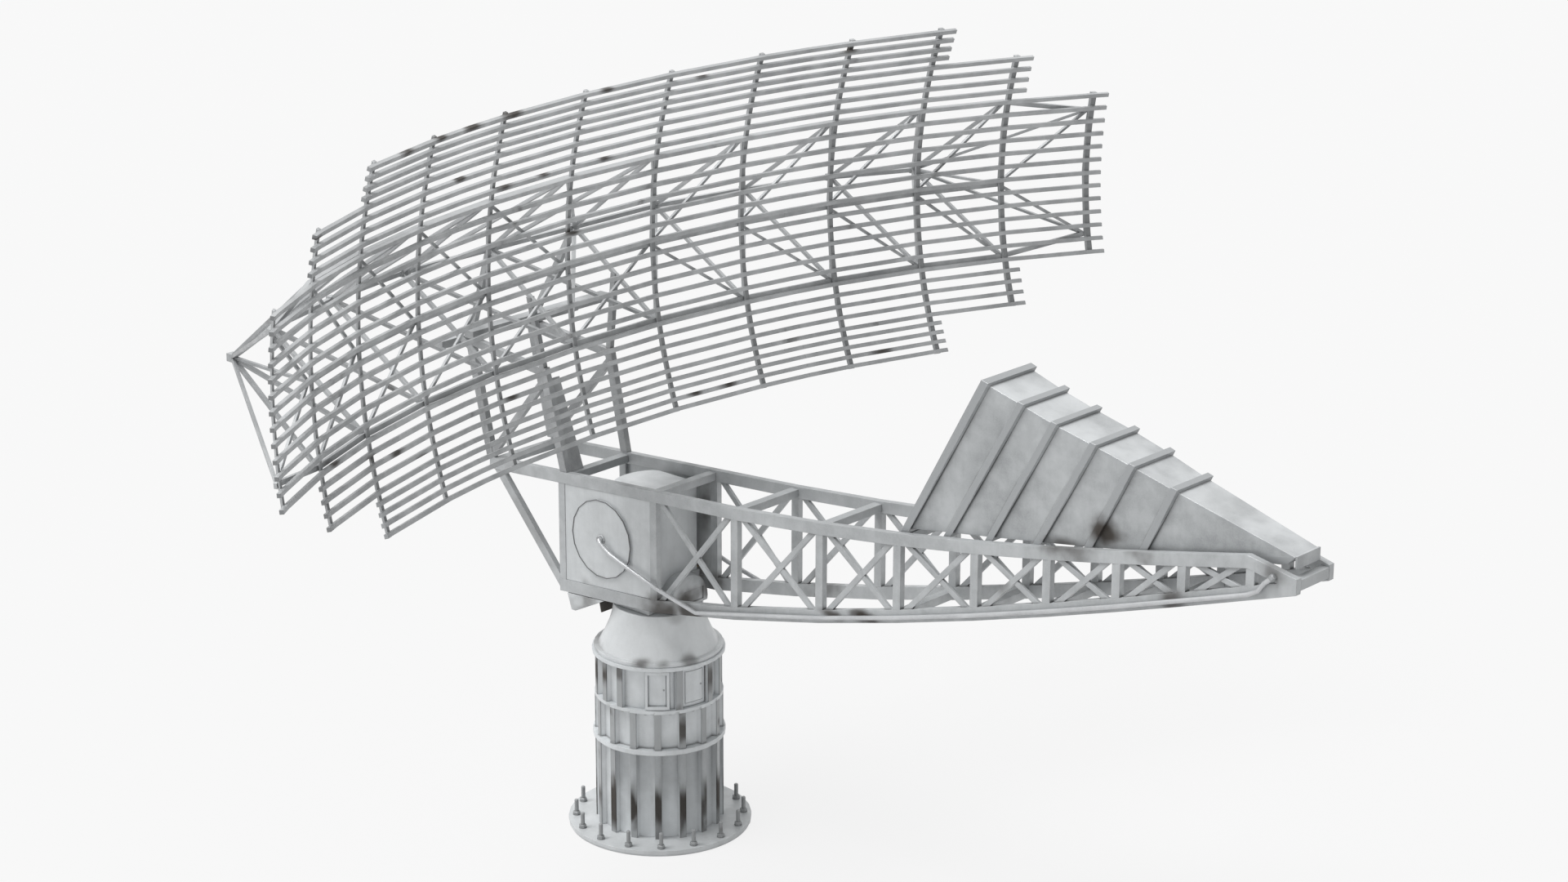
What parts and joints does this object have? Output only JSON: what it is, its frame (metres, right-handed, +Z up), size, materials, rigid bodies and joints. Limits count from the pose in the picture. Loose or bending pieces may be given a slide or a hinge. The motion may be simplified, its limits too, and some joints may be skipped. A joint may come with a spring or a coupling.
{
  "type": "radar dome antenna",
  "caption": "Search radar antenna: open lattice reflector and stepped feed horn on a truss boom, tilting in a trunnion head that turns on a ribbed, bolted drum pedestal.",
  "frame": {"origin": "centre of the foundation plate's underside, on the azimuth axis", "axes": "+Z up along the azimuth axis; +X along the boom from the head towards the feed horn's throat; Y across the reflector's width"},
  "size_m": [6.3342, 7.2, 4.8511],
  "materials": {
    "pedestal_paint": "weathered satin grey paint with brown soot",
    "head_paint": "satin light grey paint",
    "boom_paint": "light grey paint on aluminium, softly mottled",
    "lattice_paint": "weathered grey with dark soot at the bars",
    "zinc": "dull galvanised",
    "gear_steel": "oiled machined steel",
    "bronze": "machined bronze",
    "motor_enamel": "dark enamel"
  },
  "bodies": {
    "pedestal": {"foundation_plate": "zinc", "base_flange": "pedestal_paint", "drum_lower": "pedestal_paint", "drum_upper": "pedestal_paint", "bearing_cone": "pedestal_paint", "azimuth_bearing_ring": "gear_steel", "drum_deck": "pedestal_paint", "azimuth_motor": "motor_enamel", "slip_ring_brushes": "motor_enamel"},
    "turntable": {"king_tube": "gear_steel", "bull_gear": "gear_steel", "slip_ring_drum": "bronze", "head_housing": "head_paint", "elevation_gearbox": "head_paint", "head_rear_tray": "head_paint", "trunnion_bearing_near": "gear_steel", "trunnion_bearing_far": "gear_steel"},
    "antenna": {"elevation_sector": "gear_steel", "boom_truss_near": "boom_paint", "boom_truss_far": "boom_paint", "side_plate_near": "head_paint", "side_plate_far": "head_paint", "trunnion_cover_near": "head_paint", "trunnion_cover_far": "head_paint", "top_tie_1": "boom_paint", "top_tie_2": "boom_paint", "top_tie_3": "boom_paint", "top_tie_4": "boom_paint", "top_tie_5": "boom_paint", "top_tie_6": "boom_paint", "bottom_tie_1": "boom_paint", "bottom_tie_2": "boom_paint", "bottom_tie_3": "boom_paint", "bottom_tie_4": "boom_paint", "bottom_tie_5": "boom_paint", "boom_nose": "boom_paint", "rear_bracket": "head_paint", "feed_pipe_near": "boom_paint", "feed_pipe_far": "boom_paint", "feed_horn": "boom_paint", "horn_throat": "boom_paint", "tower_near": "boom_paint", "tower_far": "boom_paint", "tower_platform": "boom_paint", "tower_duct": "boom_paint", "reflector_near": "lattice_paint", "reflector_centre": "lattice_paint", "reflector_far": "lattice_paint", "backing_frame_near": "lattice_paint", "backing_frame_centre": "lattice_paint", "backing_frame_far": "lattice_paint", "rear_frame_outer_near": "lattice_paint", "rear_frame_inner_near": "lattice_paint", "rear_frame_centre": "lattice_paint", "rear_frame_inner_far": "lattice_paint", "rear_frame_outer_far": "lattice_paint"},
    "azimuth_drive_pinion": {"azimuth_pinion": "bronze"},
    "elevation_drive_pinion": {"elevation_pinion": "bronze"},
    "access_door_leaf": {"access_door": "pedestal_paint"},
    "service_hatch_leaf": {"service_hatch": "pedestal_paint"}
  },
  "joints": [
    {"name": "azimuth", "type": "hinge", "parent": "pedestal", "child": "turntable", "pos_m": [0, 0, 0], "axis": [0, 0, 1], "continuous": true},
    {"name": "elevation", "type": "hinge", "parent": "turntable", "child": "antenna", "pos_m": [-0.2, 0, 1.951], "axis": [0, -1, 0], "range_deg": [-6, 12]},
    {"name": "azimuth_pinion_spin", "type": "hinge", "parent": "pedestal", "child": "azimuth_drive_pinion", "pos_m": [0.18168, -0.19483, 0], "axis": [0, 0, 1], "continuous": true},
    {"name": "elevation_pinion_spin", "type": "hinge", "parent": "turntable", "child": "elevation_drive_pinion", "pos_m": [0.0314, 0, 1.67522], "axis": [0, -1, 0], "range_deg": [-36, 18]},
    {"name": "access_door_hinge", "type": "hinge", "parent": "pedestal", "child": "access_door_leaf", "pos_m": [0.21884, -0.31151, 0], "axis": [0, 0, -1], "range_deg": [0, 95]},
    {"name": "service_hatch_hinge", "type": "hinge", "parent": "pedestal", "child": "service_hatch_leaf", "pos_m": [0.35884, -0.12715, 0], "axis": [0, 0, -1], "range_deg": [0, 95]}
  ],
  "couplings": [
    {"joint": "azimuth_pinion_spin", "follows": "azimuth", "ratio": -3},
    {"joint": "elevation_pinion_spin", "follows": "elevation", "ratio": -3}
  ]
}
